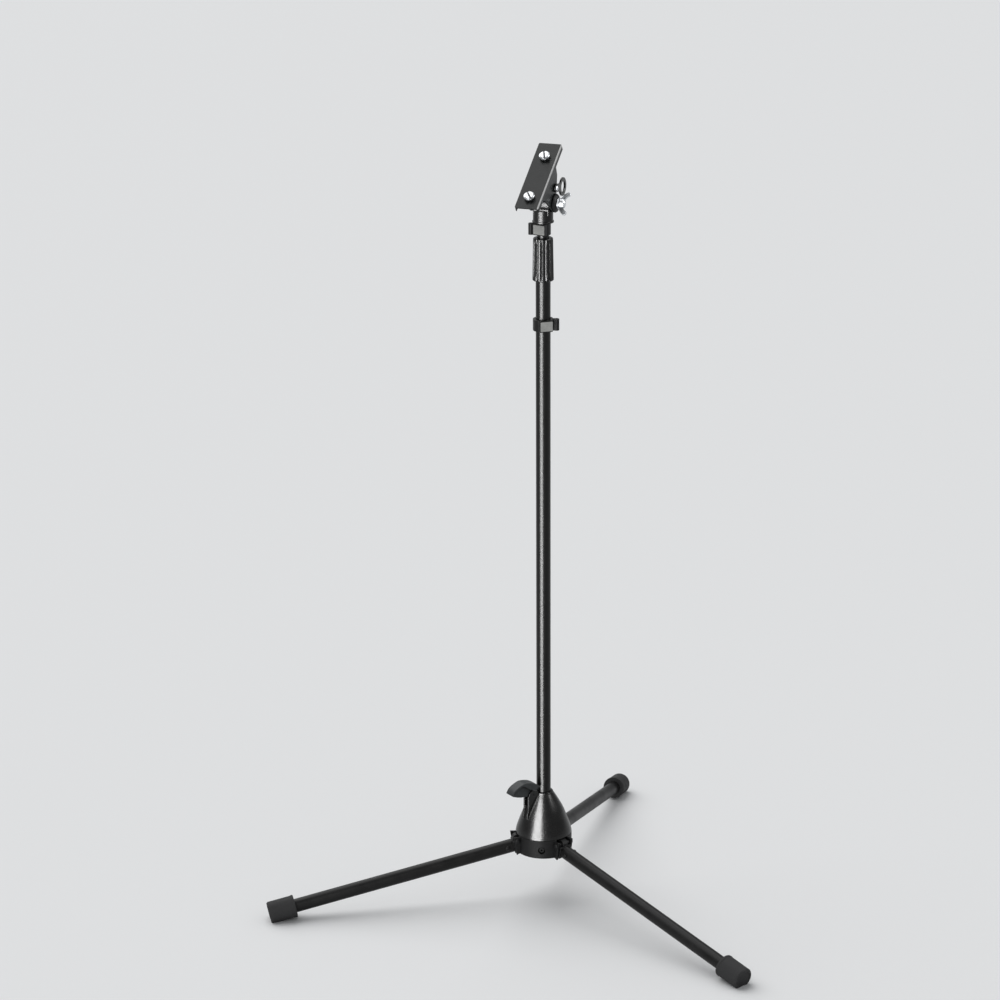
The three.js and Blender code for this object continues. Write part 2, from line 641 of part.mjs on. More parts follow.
add("lock_cone", lockCone(), "gloss_black");
add("cone_bush", coneBush(), "moulded_black");
add("lever_pin", leverPin(), "cast_black");
add("release_lever", releaseLever(), "moulded_black");
add("brake_pad", brakePad(), "rubber");

add("clutch_grip", clutchGrip(), "moulded_black");
add("lower_clip", cableClip(LOWER_CLIP), "moulded_black");
add("lower_label", clipLabel(LOWER_CLIP), "label");
add("upper_tube", ring(MAST.r, MAST_BORE, MAST.bottom, MAST.top), "gloss_black");
add("upper_tube_bush", mastBush(), "nylon");
add("head_stud", headStud(), "nickel");
add("upper_clip", cableClip(UPPER_CLIP), "moulded_black");
add("upper_label", clipLabel(UPPER_CLIP), "label");

add("head_socket", headSocket(), "cast_black", head);
add("friction_disc_left", frictionDisc(-1), "moulded_black", head);
add("friction_disc_right", frictionDisc(1), "moulded_black", head);

add("mount_plate", mountPlate(), "cast_black", tilted);
add("plate_stud_low", plateStud(STUDS.low, STUDS.slotLow), "nickel", tilted);
add("plate_stud_high", plateStud(STUDS.high, STUDS.slotHigh), "nickel", tilted);
add("tilt_bolt", tiltBolt(), "nickel", tilted);
add("clamp_cap", clampCap(), "cast_black", tilted);
add("clamp_washer", clampWasher(), "nickel", tilted);
add("wing_nut", wingNut(), "nickel", tilted);
add("cable_eye", cableEye(), "gloss_black", tilted);
add("eye_rivet", eyeRivet(), "nickel", tilted);

export default stand;
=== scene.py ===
"""Looks of a folding tripod stand with a tilting equipment plate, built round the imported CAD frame.

Shapes are written in millimetres, in the row frame (+Z up, floor at z = 0), and scaled to metres.
"""
import json
import math

import bmesh
import bpy
from mathutils import Matrix, Vector


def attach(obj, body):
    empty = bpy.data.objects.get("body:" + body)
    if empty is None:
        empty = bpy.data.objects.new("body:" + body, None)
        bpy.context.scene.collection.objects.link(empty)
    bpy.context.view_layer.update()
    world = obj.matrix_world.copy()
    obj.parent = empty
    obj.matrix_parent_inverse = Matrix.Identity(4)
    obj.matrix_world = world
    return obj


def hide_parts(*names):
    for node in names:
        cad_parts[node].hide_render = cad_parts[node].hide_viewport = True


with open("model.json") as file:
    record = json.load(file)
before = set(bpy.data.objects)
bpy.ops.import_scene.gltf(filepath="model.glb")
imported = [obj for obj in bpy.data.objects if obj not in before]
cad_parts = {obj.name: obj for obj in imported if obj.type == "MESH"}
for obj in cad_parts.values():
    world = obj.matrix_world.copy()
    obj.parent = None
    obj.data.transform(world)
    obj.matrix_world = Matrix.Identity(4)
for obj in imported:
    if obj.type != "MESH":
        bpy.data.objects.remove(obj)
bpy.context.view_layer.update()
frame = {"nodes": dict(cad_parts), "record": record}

MM = 0.001
NO_RADIUS = 1e-6
FINE, ROUND, SMALL = 96, 64, 32  # sides of a turned shape

# ------------------------------------------------------------------ sizes shared with the CAD
COLUMN_R, COLUMN_WALL, COLUMN_LOW, COLUMN_TOP = 10, 1.5, 75.6, 909
MAST_R, MAST_WALL, MAST_LOW, MAST_TOP = 8, 1.2, 190, 972
LEG_AZIMUTHS = (191.8, 311.8, 71.8)
SLOPE = math.radians(11.3)
PIVOT_R, PIVOT_Z = 40.5, 91.5
AXIS_HEIGHT = 89.15
FOOT_RADIUS = 374.2
LEG_R, LEG_WALL = 9.5, 1.5
LEG_START = 6.5
FOOT_R, FOOT_LENGTH, FOOT_OVERHANG = 16, 38, 4
AXIS_DROP = (PIVOT_Z - AXIS_HEIGHT) * math.cos(SLOPE) + PIVOT_R * math.sin(SLOPE)
FOOT_HEIGHT = AXIS_HEIGHT - FOOT_RADIUS * math.tan(SLOPE)
FOOT_ALONG = (FOOT_RADIUS - PIVOT_R) * math.cos(SLOPE) + (PIVOT_Z - FOOT_HEIGHT) * math.sin(SLOPE)
TUBE_END = FOOT_ALONG + FOOT_LENGTH / 2 - FOOT_OVERHANG
RIVET_ALONG, RIVET_LIFT = 15, 1.5
LEG_RIVET_R, LEG_RIVET_HALF = 1.95, 8.6
PIN_R, PIN_HALF = 2.5, 14.05
HUB_R, HUB_BORE, HUB_LOW, HUB_TOP, HUB_FLOOR = 39.5, 36.2, 72.2, 98.6, 3
BOSS_R, BOSS_TOP = 15.5, 94.6
FORK_INNER, FORK_OUTER, FORK_TOP = 10.25, 13.75, 94.8
STOP_NEAR, STOP_FAR, STOP_TOP = 29.5, 31.5, 88
SCREW_AZIMUTH, SCREW_Z = 265, 84.3
SCREW_R, SCREW_HEAD_R, SCREW_END = 2.4, 3.7, 37
CONE_LOW, CONE_TOP, CONE_BORE, BUSH_LOW = 98.9, 160, 11.35, 145
SKIRT_R, SKIRT_LOW = 35.6, 95.3
EAR_NEAR, EAR_FAR = 3.3, 6.2
LEVER_AZIMUTH = 214.5
LEVER_HALF = 7.8
LEVER_SKIN = 2.6
LEVER_PIN_R, LEVER_PIN_Z = 21, 160
LEVER_PIN_THICK, LEVER_PIN_HOLE = 1.48, 1.6
RIB_HALF = 2.9
GRIP_LOW, GRIP_TOP, GRIP_R, GRIP_TAPER = 896, 954.4, 14.4, 0.9
FLUTES, FLUTE_DEPTH = 14, 1.3
LOWER_CLIP = {"ring_r": 13.9, "low": 827.5, "high": 843.5, "azimuth": 288}
UPPER_CLIP = {"ring_r": 10.4, "low": 958.5, "high": 974.2, "azimuth": 238}
LOWER_EYE, UPPER_EYE = (18, -1.5, 3.6), (-16.2, 0, 3.5)  # x, y and radius of each clip's cable eye
CABLE_R = 1.7
SOCKET_R, SOCKET_LOW, SOCKET_TOP = 13.5, 975.2, 992
RING_R, RING_HEIGHT = 14.5, 2.2
TILT_Z = 1002
HEAD_YAW = -20.5
PLATE_TILT = 35
BARREL_R, BARREL_HALF = 12.5, 11.8
DISC_R, DISC_NEAR, DISC_FAR = 9.5, 12.1, 14
PLATE_HALF, PLATE_LOW, PLATE_HIGH, PLATE_FACE, PLATE_THICK = 16.4, -51, 66, 43, 2.1
STUD_LOW, STUD_HIGH, STUD_R = -33, 40, 4.6
BOLT_R, BOLT_END = 4, 31
BOLT_BORE = BOLT_R + 0.15
BARREL_BORE = BOLT_R + 0.25
CAP_NEAR, CAP_FAR = 16.8, 21.2
WASHER_NEAR, WASHER_FAR = 21.5, 22.8
WING_NEAR, WING_FAR = 23.1, 30.2
WING_LEAN = 50
RIVET_Y, RIVET_Z, RIVET_HOLE = 11, 17, 1.9
EYE_Y, EYE_Z, EYE_R, EYE_HOLE = 31, -0.8, 12.4, 7.6
EYE_NEAR, EYE_FAR = 16.8, 19.4
EYE_RUN = math.hypot(EYE_Y - RIVET_Y, EYE_Z - RIVET_Z)
EYE_LIE = math.degrees(math.atan2(EYE_Z - RIVET_Z, EYE_Y - RIVET_Y))


# ------------------------------------------------------------------ places
def turn_z(degrees):
    return Matrix.Rotation(math.radians(degrees), 4, "Z")


def turn_x(degrees):
    return Matrix.Rotation(math.radians(degrees), 4, "X")


def place(x, y, z):
    return Matrix.Translation((x * MM, y * MM, z * MM))


ALONG_X = Matrix.Rotation(math.radians(90), 4, "Y")
ALONG_Y = Matrix.Rotation(math.radians(-90), 4, "X")
SIDE = Matrix(((0, 0, 1, 0), (1, 0, 0, 0), (0, 1, 0, 0), (0, 0, 0, 1)))  # page X and Y become Y and Z
FRONT = Matrix.Rotation(math.radians(90), 4, "X")  # page X and Y become X and Z
HEAD = turn_z(HEAD_YAW)
BARREL = HEAD @ place(0, 0, TILT_Z)
PLATE = BARREL @ turn_x(PLATE_TILT)


def leg_plane(azimuth):
    return turn_z(azimuth) @ place(PIVOT_R, 0, PIVOT_Z) @ Matrix.Rotation(SLOPE, 4, "Y")


def leg_axis(azimuth):
    return leg_plane(azimuth) @ place(0, 0, -AXIS_DROP) @ ALONG_X


def across_leg(azimuth):
    return leg_plane(azimuth) @ place(RIVET_ALONG, 0, RIVET_LIFT - AXIS_DROP) @ ALONG_Y


# ------------------------------------------------------------------ outlines
def arc(cx, cy, r, start, end, steps=12):
    angles = [math.radians(start + (end - start) * i / steps) for i in range(steps + 1)]
    return [(cx + r * math.cos(a), cy + r * math.sin(a)) for a in angles]


def smooth(points, steps=5):
    """A Catmull-Rom curve through the points."""
    ends = [points[0], *points, points[-1]]
    made = []
    for a, b, c, d in zip(ends, ends[1:], ends[2:], ends[3:]):
        for i in range(steps):
            t = i / steps
            made.append(tuple(
                0.5 * (2 * b[k] + (c[k] - a[k]) * t + (2 * a[k] - 5 * b[k] + 4 * c[k] - d[k]) * t * t
                       + (3 * b[k] - a[k] - 3 * c[k] + d[k]) * t ** 3)
                for k in (0, 1)))
    return [*made, points[-1]]


def fillet(points, radius, steps=4, closed=False):
    """Rounds the corners of a line of points."""
    made = []
    count = len(points)
    for i, corner in enumerate(points):
        if not closed and i in (0, count - 1):
            made.append(corner)
            continue
        p, before, after = Vector(corner), Vector(points[i - 1]), Vector(points[(i + 1) % count])
        u, v = before - p, after - p
        angle = u.angle(v, math.pi)
        reach = min(radius / math.tan(angle / 2) if angle < 3.1 else 0, 0.45 * u.length, 0.45 * v.length)
        if reach < 1e-3:
            made.append(corner)
            continue
        a, b = p + u.normalized() * reach, p + v.normalized() * reach
        for k in range(steps + 1):
            t = k / steps
            made.append(tuple((1 - t) ** 2 * a + 2 * t * (1 - t) * p + t * t * b))
    return made


# ------------------------------------------------------------------ solids
def to_object(bm, matrix=Matrix()):
    bmesh.ops.remove_doubles(bm, verts=bm.verts, dist=1e-7)
    bmesh.ops.recalc_face_normals(bm, faces=bm.faces)
    if bm.calc_volume(signed=True) < 0:
        bmesh.ops.reverse_faces(bm, faces=bm.faces)
    mesh = bpy.data.meshes.new("part")
    bm.transform(matrix)
    bm.to_mesh(mesh)
    bm.free()
    made = bpy.data.objects.new("part", mesh)
    bpy.context.scene.collection.objects.link(made)
    return made


def ring(bm, radii, z):
    """Points about Z at height z, one for each radius. A ring of radius 0 is a single point."""
    if max(radii) < NO_RADIUS:
        return [bm.verts.new((0, 0, z * MM))]
    made = []
    for i, r in enumerate(radii):
        a = 2 * math.pi * i / len(radii)
        made.append(bm.verts.new((r * MM * math.cos(a), r * MM * math.sin(a), z * MM)))
    return made


def wrap(bm, rings, sides, closed=False):
    """Joins each ring to the next with faces, and the last to the first when closed."""
    pairs = list(zip(rings, rings[1:]))
    if closed:
        pairs.append((rings[-1], rings[0]))
    for low, high in pairs:
        for i in range(sides):
            j = (i + 1) % sides
            corners = [low[i % len(low)], low[j % len(low)], high[j % len(high)], high[i % len(high)]]
            corners = list(dict.fromkeys(corners))
            if len(corners) > 2:
                bm.faces.new(corners)


def lathe(profile, sides=ROUND, matrix=Matrix()):
    """Turns (radius, height) points about Z. A profile that is off the axis at its ends closes on itself."""
    bm = bmesh.new()
    rings = [ring(bm, [r] * sides, z) for r, z in profile]
    wrap(bm, rings, sides, closed=profile[0][0] > NO_RADIUS)
    return to_object(bm, matrix)


def tube(outer, inner, low, high, sides=ROUND, matrix=Matrix()):
    profile = fillet([(inner, low), (outer, low), (outer, high), (inner, high)], 0.3, 3, closed=True)
    return lathe(profile, sides, matrix)


def rod(r, low, high, sides=SMALL, matrix=Matrix(), edge=0.3):
    return lathe(fillet([(0, low), (r, low), (r, high), (0, high)], edge, 3), sides, matrix)


def bore(r, low, high, matrix=Matrix(), chamfer=0.25, sides=ROUND):
    """A cutting tool for a hole from low to high, a little wider at both mouths."""
    over = 0.6
    wide = r + chamfer + over
    profile = [(0, low - over), (wide, low - over), (r, low + chamfer)]
    profile += [(r, high - chamfer), (wide, high + over), (0, high + over)]
    return lathe(profile, sides, matrix)


def prism(outline, low, high, matrix=Matrix(), edge=0.4, segments=3):
    """An X-Y outline made into a plate from z = low to high, with its edges rounded."""
    bm = bmesh.new()
    bottom = [bm.verts.new((x * MM, y * MM, low * MM)) for x, y in outline]
    top = [bm.verts.new((x * MM, y * MM, high * MM)) for x, y in outline]
    bm.faces.new(bottom)
    bm.faces.new(top)
    for i in range(len(outline)):
        j = (i + 1) % len(outline)
        bm.faces.new([bottom[i], bottom[j], top[j], top[i]])
    made = to_object(bm)
    if edge:
        bevel(made, edge, segments)
    made.data.transform(matrix)
    return made


def block(x0, x1, y0, y1, z0, z1, matrix=Matrix(), edge=0.4):
    return prism([(x0, y0), (x1, y0), (x1, y1), (x0, y1)], z0, z1, matrix, edge)


def slab(outline, near, far, matrix=Matrix(), edge=0.4):
    """An outline in the X-Z plane made into a slab from y = near to far."""
    return prism(outline, -far, -near, matrix @ FRONT, edge)


def slab_pair(outline, near, far, matrix=Matrix(), edge=0.4):
    return [slab(outline, near, far, matrix, edge), slab(outline, -far, -near, matrix, edge)]


def side_slab(outline, near, far, matrix=Matrix(), edge=0.4):
    """An outline in the Y-Z plane made into a slab from x = near to far."""
    return prism(outline, near, far, matrix @ SIDE, edge)


def settle(made):
    """Puts the modifiers' result into the mesh."""
    graph = bpy.context.evaluated_depsgraph_get()
    mesh = bpy.data.meshes.new_from_object(made.evaluated_get(graph))
    made.modifiers.clear()
    made.data = mesh
    return made


def bevel(made, width, segments=3, angle=38):
    modifier = made.modifiers.new("edges", "BEVEL")
    modifier.width = width * MM
    modifier.segments = segments
    modifier.limit_method = "ANGLE"
    modifier.angle_limit = math.radians(angle)
    return settle(made)


def combine(base, tools, operation):
    for tool in tools:
        modifier = base.modifiers.new("shape", "BOOLEAN")
        modifier.operation = operation
        modifier.solver = "MANIFOLD"
        modifier.object = tool
        settle(base)
        bpy.data.objects.remove(tool)
    return base


def join(base, *tools):
    return combine(base, tools, "UNION")


def cut(base, *tools):
    return combine(base, tools, "DIFFERENCE")


# ------------------------------------------------------------------ materials
def node(tree, kind, **settings):
    made = tree.nodes.new(kind)
    for name, value in settings.items():
        if name in made.inputs:
            made.inputs[name].default_value = value
        else:
            setattr(made, name, value)
    return made


def noise(tree, coords, scale, detail, stretch=(1, 1, 1)):
    mapping = node(tree, "ShaderNodeMapping", Scale=stretch)
    tree.links.new(coords, mapping.inputs["Vector"])
    made = node(tree, "ShaderNodeTexNoise", Scale=scale, Detail=detail)
    tree.links.new(mapping.outputs["Vector"], made.inputs["Vector"])
    return made.outputs["Fac"]


def ranged(tree, value, low, high, to_low, to_high):
    made = node(tree, "ShaderNodeMapRange")
    for name, number in zip(("From Min", "From Max", "To Min", "To Max"), (low, high, to_low, to_high)):
        made.inputs[name].default_value = number
    tree.links.new(value, made.inputs["Value"])
    return made.outputs["Result"]


def mixed(tree, share, first, second):
    made = node(tree, "ShaderNodeMix", data_type="RGBA")
    tree.links.new(share, made.inputs["Factor"])
    for socket, colour in ((made.inputs[6], first), (made.inputs[7], second)):
        if isinstance(colour, tuple):
            socket.default_value = (*colour, 1)
        else:
            tree.links.new(colour, socket)
    return made.outputs[2]


def worn_edges(tree, radius=0.7):
    """1 on an edge and 0 on the faces beside it: where a rounded-off normal leaves the surface's own."""
    rounded = node(tree, "ShaderNodeBevel", samples=4, Radius=radius * MM)
    surface = node(tree, "ShaderNodeNewGeometry")
    same = node(tree, "ShaderNodeVectorMath", operation="DOT_PRODUCT")
    tree.links.new(rounded.outputs["Normal"], same.inputs[0])
    tree.links.new(surface.outputs["Normal"], same.inputs[1])
    return ranged(tree, same.outputs["Value"], 0.86, 0.985, 0.8, 0)


def measured(tree, coords, axis, low, high):
    """0 below low and 1 above high, in millimetres along one of the plate's own axes."""
    direction = PLATE.col[axis].xyz
    along = node(tree, "ShaderNodeVectorMath", operation="DOT_PRODUCT")
    tree.links.new(coords, along.inputs[0])
    along.inputs[1].default_value = direction
    origin = PLATE.translation.dot(direction)
    return ranged(tree, along.outputs["Value"], origin + low * MM, origin + high * MM, 0, 1)


def painted_bend_highlight(tree, coords):
    """1 along the plate's right-hand bend, where a highlight is painted as a bright colour, and 0 elsewhere.
    """
    both = node(tree, "ShaderNodeMath", operation="MULTIPLY")
    tree.links.new(measured(tree, coords, 0, PLATE_HALF - 1.7, PLATE_HALF - 1.2), both.inputs[0])
    tree.links.new(measured(tree, coords, 2, PLATE_FACE - 1.9, PLATE_FACE - 1.4), both.inputs[1])
    return both.outputs["Value"]


def material(name, dark, light, rough, metallic=0.0, patch=40, grain=2500, bump=0.06, depth=0.05,
             stretch=(1, 1, 1), wear=None, recess=0, specular=0.5, bend_highlight=None, mottle=1):
    """Mottled colour and roughness with a fine grain, for every finish.

    wear is the lighter colour of its edges, rubbed the colour of a highlight painted along the plate's
    right-hand bend, and recess how deep a hollow is, in millimetres, when painted shade starts to darken it.
    mottle is how strongly the roughness varies.
    """
    made = bpy.data.materials.new(name)
    made.use_nodes = True
    tree = made.node_tree
    shader = tree.nodes["Principled BSDF"]
    shader.inputs["Metallic"].default_value = metallic
    shader.inputs["Specular IOR Level"].default_value = specular
    coords = node(tree, "ShaderNodeTexCoord").outputs["Object"]
    patches = noise(tree, coords, patch, 4)
    grains = noise(tree, coords, grain, 3, stretch)
    colour = mixed(tree, ranged(tree, patches, 0.3, 0.7, 0, 1), dark, light)
    speck = tuple(1.6 * c for c in light)
    speckled = mixed(tree, ranged(tree, grains, 0.35, 0.75, 0, 0.5), colour, speck)
    if wear:
        speckled = mixed(tree, worn_edges(tree), speckled, wear)
    # A highlight painted as a bright colour along the plate's right-hand bend.
    if bend_highlight:
        speckled = mixed(tree, painted_bend_highlight(tree, coords), speckled, bend_highlight)
    if recess:
        # Painted shade: the colour turns darker where ambient occlusion finds a hollow, such as the lever's
        # underside and the studs' slots.
        shut = node(tree, "ShaderNodeAmbientOcclusion", samples=8, only_local=True, Distance=recess * MM)
        painted_shade = tuple(0.06 * c for c in dark)
        speckled = mixed(tree, ranged(tree, shut.outputs["AO"], 0.55, 0.93, 0, 1), painted_shade, speckled)
    tree.links.new(speckled, shader.inputs["Base Color"])
    blend = node(tree, "ShaderNodeMath", operation="ADD")
    smoother, rougher = (1 - 0.2 * mottle) * rough, (1 + 0.15 * mottle) * rough
    tree.links.new(ranged(tree, patches, 0.3, 0.7, smoother, rougher), blend.inputs[0])
    less, more = -0.08 * mottle * rough, 0.12 * mottle * rough
    tree.links.new(ranged(tree, grains, 0.3, 0.7, less, more), blend.inputs[1])
    tree.links.new(blend.outputs["Value"], shader.inputs["Roughness"])
    ripple = node(tree, "ShaderNodeBump", Strength=bump, Distance=depth * MM)
    tree.links.new(grains, ripple.inputs["Height"])
    tree.links.new(ripple.outputs["Normal"], shader.inputs["Normal"])
    return made


TUBE = material("tube_powder_coat", (0.002, 0.002, 0.0018), (0.004, 0.004, 0.0037), 0.28,
                grain=900, bump=0.015, wear=(0.02, 0.02, 0.02), specular=0.2, mottle=0.25)
LEG_PAINT = material("leg_powder_coat", (0.004, 0.004, 0.0038), (0.008, 0.0077, 0.0077), 0.38,
                     grain=900, bump=0.08, wear=(0.03, 0.03, 0.03), specular=0.2)
CONE_GLOSS = material("cone_gloss", (0.0015, 0.0015, 0.0013), (0.0028, 0.0028, 0.0025), 0.25,
                      grain=600, bump=0.015, wear=(0.02, 0.02, 0.02), specular=0.32)
CAST = material("cast_coat", (0.005, 0.005, 0.0054), (0.011, 0.011, 0.0115), 0.5,
                patch=260, grain=1400, bump=0.25, depth=0.12, wear=(0.04, 0.04, 0.04), specular=0.2)
SOCKET_GLOSS = material("socket_gloss", (0.002, 0.002, 0.002), (0.004, 0.004, 0.004), 0.28,
                        patch=120, grain=900, bump=0.02, wear=(0.03, 0.03, 0.03), specular=0.24, mottle=0.25)
# The bright colour along the plate's right-hand bend is a painted highlight.
PLATE_PAINT = material("plate_coat", (0.006, 0.007, 0.007), (0.012, 0.0135, 0.013), 0.34,
                       patch=160, grain=1100, bump=0.15, depth=0.08, wear=(0.06, 0.06, 0.06), specular=0.25,
                       bend_highlight=(0.66, 0.66, 0.65))
MOULDED = material("moulded_black", (0.005, 0.005, 0.0054), (0.009, 0.009, 0.0094), 0.34,
                   patch=90, grain=1800, bump=0.1, wear=(0.03, 0.03, 0.03), specular=0.22)
GRIP = material("grip_black", (0.0015, 0.0015, 0.0015), (0.003, 0.003, 0.003), 0.22,
                patch=120, grain=1500, bump=0.02, wear=(0.02, 0.02, 0.02), specular=0.26, mottle=0.25)
# recess paints shade into the hollow under the lever's skin.
LEVER_GREY = material("lever_grey", (0.026, 0.029, 0.03), (0.044, 0.048, 0.049), 0.42,
                      patch=200, grain=1600, bump=0.16, wear=(0.08, 0.08, 0.08), recess=16, specular=0.2)
RUBBER = material("rubber", (0.018, 0.018, 0.0185), (0.032, 0.032, 0.033), 0.7,
                  patch=150, grain=1500, bump=0.35, depth=0.15, specular=0.2)
# recess paints shade into the studs' slots and the other small hollows.
NICKEL = material("nickel", (0.46, 0.475, 0.49), (0.58, 0.595, 0.61), 0.28,
                  metallic=1.0, patch=120, grain=700, bump=0.08, stretch=(1, 1, 4), recess=4)
LABEL = material("label_metal", (0.34, 0.34, 0.325), (0.46, 0.46, 0.44), 0.5,
                 patch=90, grain=260, bump=0.1, stretch=(1, 1, 14), specular=0.06)
NYLON = material("nylon", (0.55, 0.54, 0.5), (0.66, 0.65, 0.61), 0.5, patch=90, grain=1200, bump=0.15)

GLOSSY = (TUBE, CONE_GLOSS, SOCKET_GLOSS, GRIP)
glossy_pieces = bpy.data.collections.new("glossy_pieces")
BODIES = frame["record"]["behaviour"]["bodies"]
BODY_OF = {member: body for body, members in BODIES.items() for member in members}


def shade(mesh, angle=32):
    mesh.shade_smooth()
    bm = bmesh.new()
    bm.from_mesh(mesh)
    for edge in bm.edges:
        edge.smooth = len(edge.link_faces) == 2 and edge.calc_face_angle(0) < math.radians(angle)
    bm.to_mesh(mesh)
    bm.free()


def piece(cad_node, made, finish):
    """Names the piece after its CAD node, shades it, and puts it in that node's place."""
    made.name = "look_" + cad_node
    made.data.materials.clear()
    made.data.materials.append(finish)
    made.data.polygons.foreach_set("material_index", [0] * len(made.data.polygons))
    shade(made.data)
    flats = made.modifiers.new("flats", "WEIGHTED_NORMAL")
    flats.keep_sharp = True
    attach(made, BODY_OF[cad_node])
    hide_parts(cad_node)
    if finish in GLOSSY:
        glossy_pieces.objects.link(made)
    return made


# ------------------------------------------------------------------ hub
SCREW_PLACE = turn_z(SCREW_AZIMUTH) @ place(0, 0, SCREW_Z) @ ALONG_X


def hub_fork(azimuth):
    outline = [(13.5, HUB_LOW), (38, HUB_LOW), (41.5, 70.2), (45.8, 96.9), (39.8, 96.4), (37, 96.4)]
    outline += [(36, FORK_TOP), (13.5, FORK_TOP)]
    return slab_pair(outline, FORK_INNER, FORK_OUTER, turn_z(azimuth), 0.5)


def pin_place(azimuth):
    return turn_z(azimuth) @ place(PIVOT_R, 0, PIVOT_Z) @ ALONG_Y


def pivot_hole(azimuth):
    return rod(PIN_R + 0.12, -20, 20, SMALL, pin_place(azimuth))


def make_hub():
    band = [(HUB_BORE, HUB_LOW), (HUB_R, HUB_LOW), (HUB_R, HUB_TOP), (HUB_BORE, HUB_TOP)]
    low = HUB_LOW + 0.1  # clear of the hub's own underside
    hub = lathe(fillet(band, 0.9, 4, closed=True), FINE)
    base = rod(HUB_R - 1.2, HUB_LOW, HUB_LOW + HUB_FLOOR, FINE)
    hub = join(hub, base, rod(BOSS_R, low, BOSS_TOP, ROUND, edge=1))
    hub = join(hub, block(9, HUB_BORE + 1, -6.5, 6.5, low, 91.5, turn_z(SCREW_AZIMUTH)))
    for azimuth in LEG_AZIMUTHS:
        turn = turn_z(azimuth)
        stop = block(STOP_NEAR, STOP_FAR, -13.5, 13.5, low, STOP_TOP, turn)
        hub = join(hub, stop, *hub_fork(azimuth))
        mouth = block(STOP_FAR, 60, -FORK_INNER, FORK_INNER, 60, 110, turn, 0)
        hub = cut(hub, mouth, pivot_hole(azimuth))
    column_hole = rod(COLUMN_R + 0.12, 75.3, 120, ROUND)
    plug_hole = rod(8.5, 60, 80, ROUND)
    screw_hole = rod(SCREW_R + 0.2, 8, SCREW_END, SMALL, SCREW_PLACE)
    return cut(hub, column_hole, plug_hole, screw_hole, bore(5, 31, HUB_R, SCREW_PLACE, 0.5, SMALL))


def make_screw():
    shank = [(0, 10.4), (SCREW_R, 10.4), (SCREW_R, 32.4)]
    head = [(SCREW_HEAD_R, 32.4), (SCREW_HEAD_R, SCREW_END), (0, SCREW_END)]
    screw = lathe(fillet([*shank, *head], 0.4, 3), SMALL, SCREW_PLACE)
    socket = [(0, 34.6), (1.7, 34.6), (1.7, SCREW_END + 1), (0, SCREW_END + 1)]
    return cut(screw, lathe(socket, 6, SCREW_PLACE))


piece("leg_hub", make_hub(), CAST)
piece("hub_set_screw", make_screw(), CAST)
piece("column_foot_plug", rod(8.3, 73, 88, ROUND), MOULDED)


# ------------------------------------------------------------------ legs
def make_knuckle(azimuth):
    spot = leg_plane(azimuth)
    end = 6.2
    top = LEG_R - 1 - AXIS_DROP
    bottom = 0.3 - LEG_R - AXIS_DROP
    body_half, nose_half = 9.8, 4.5
    side = [(end, top), (-6.9, top), (-5.4, -17.6), (-2.5, bottom), (end, bottom)]
    body = slab(side, -body_half, body_half, spot, 0.8)
    nose = [(end - 1, top - 1), (4.6, 2.5), (2.2, 5.2), (-1.4, 6), (-5.55, 4.25), (-5.4, 1)]
    nose.append((-6.6, top - 1))
    lug = slab(nose, -nose_half, nose_half, spot, 0.6)
    shaft = leg_axis(azimuth)
    plug = rod(7.85, LEG_START - 2, 32, ROUND, shaft)
    shoulder = rod(LEG_R + 0.2, LEG_START - 5, LEG_START - 0.3, ROUND, shaft, 0.6)
    across = rod(LEG_RIVET_R + 0.15, -20, 20, SMALL, across_leg(azimuth))
    return cut(join(body, lug, plug, shoulder), pivot_hole(azimuth), across)


def two_headed(shank, half, head, matrix):
    """A pin with a rounded head at each end. head is half of its profile, from the shank outwards."""
    low = [(r, -z) for r, z in reversed(head)]
    profile = [*low, (shank, -half), (shank, half), *head]
    return lathe(profile, SMALL, matrix)


def make_foot(azimuth):
    near, far = FOOT_ALONG - FOOT_LENGTH / 2, FOOT_ALONG + FOOT_LENGTH / 2
    profile = [(0, near), (FOOT_R - 0.2, near), (FOOT_R, near + 3), (FOOT_R - 0.5, near + 3.6)]
    profile += [(FOOT_R - 0.5, far - 2), (FOOT_R - 2, far), (FOOT_R - 4.5, far)]
    profile += [(FOOT_R - 5.2, far - 0.9), (0, far - 0.9)]
    shaft = leg_axis(azimuth)
    cap = lathe(fillet(profile, 0.7, 4), FINE, shaft)
    leg_hole = bore(LEG_R + 0.12, near, TUBE_END + 0.3, shaft, 0.4)
    below = block(200, 500, -40, 40, -40, 0, turn_z(azimuth), 0)
    return cut(cap, leg_hole, below)


RIVET_DOME = smooth([(3.4, 9.75), (3.2, 10.5), (2.4, 11.05), (1.2, 11.3), (0, 11.35)], 3)
PIN_DOME = smooth([(3.7, PIN_HALF), (3.55, 14.9), (2.7, 15.6), (1.3, 15.95), (0, 16)], 3)
for number, azimuth in enumerate(LEG_AZIMUTHS, 1):
    tag = f"_{number}"
    across = across_leg(azimuth)
    leg = tube(LEG_R, LEG_R - LEG_WALL, LEG_START, TUBE_END, ROUND, leg_axis(azimuth))
    piece("leg_tube" + tag, cut(leg, rod(3.6, -12, 12, SMALL, across)), LEG_PAINT)
    piece("leg_knuckle" + tag, make_knuckle(azimuth), CAST)
    piece("leg_rivet" + tag, two_headed(LEG_RIVET_R, LEG_RIVET_HALF, RIVET_DOME, across), LEG_PAINT)
    piece("leg_pin" + tag, two_headed(PIN_R, PIN_HALF, PIN_DOME, pin_place(azimuth)), CAST)
    piece("foot_cap" + tag, make_foot(azimuth), RUBBER)

# ------------------------------------------------------------------ lock cone and release lever
LEVER_TURN = turn_z(LEVER_AZIMUTH)
LEVER_PIN = LEVER_TURN @ place(LEVER_PIN_R, 0, LEVER_PIN_Z) @ ALONG_Y


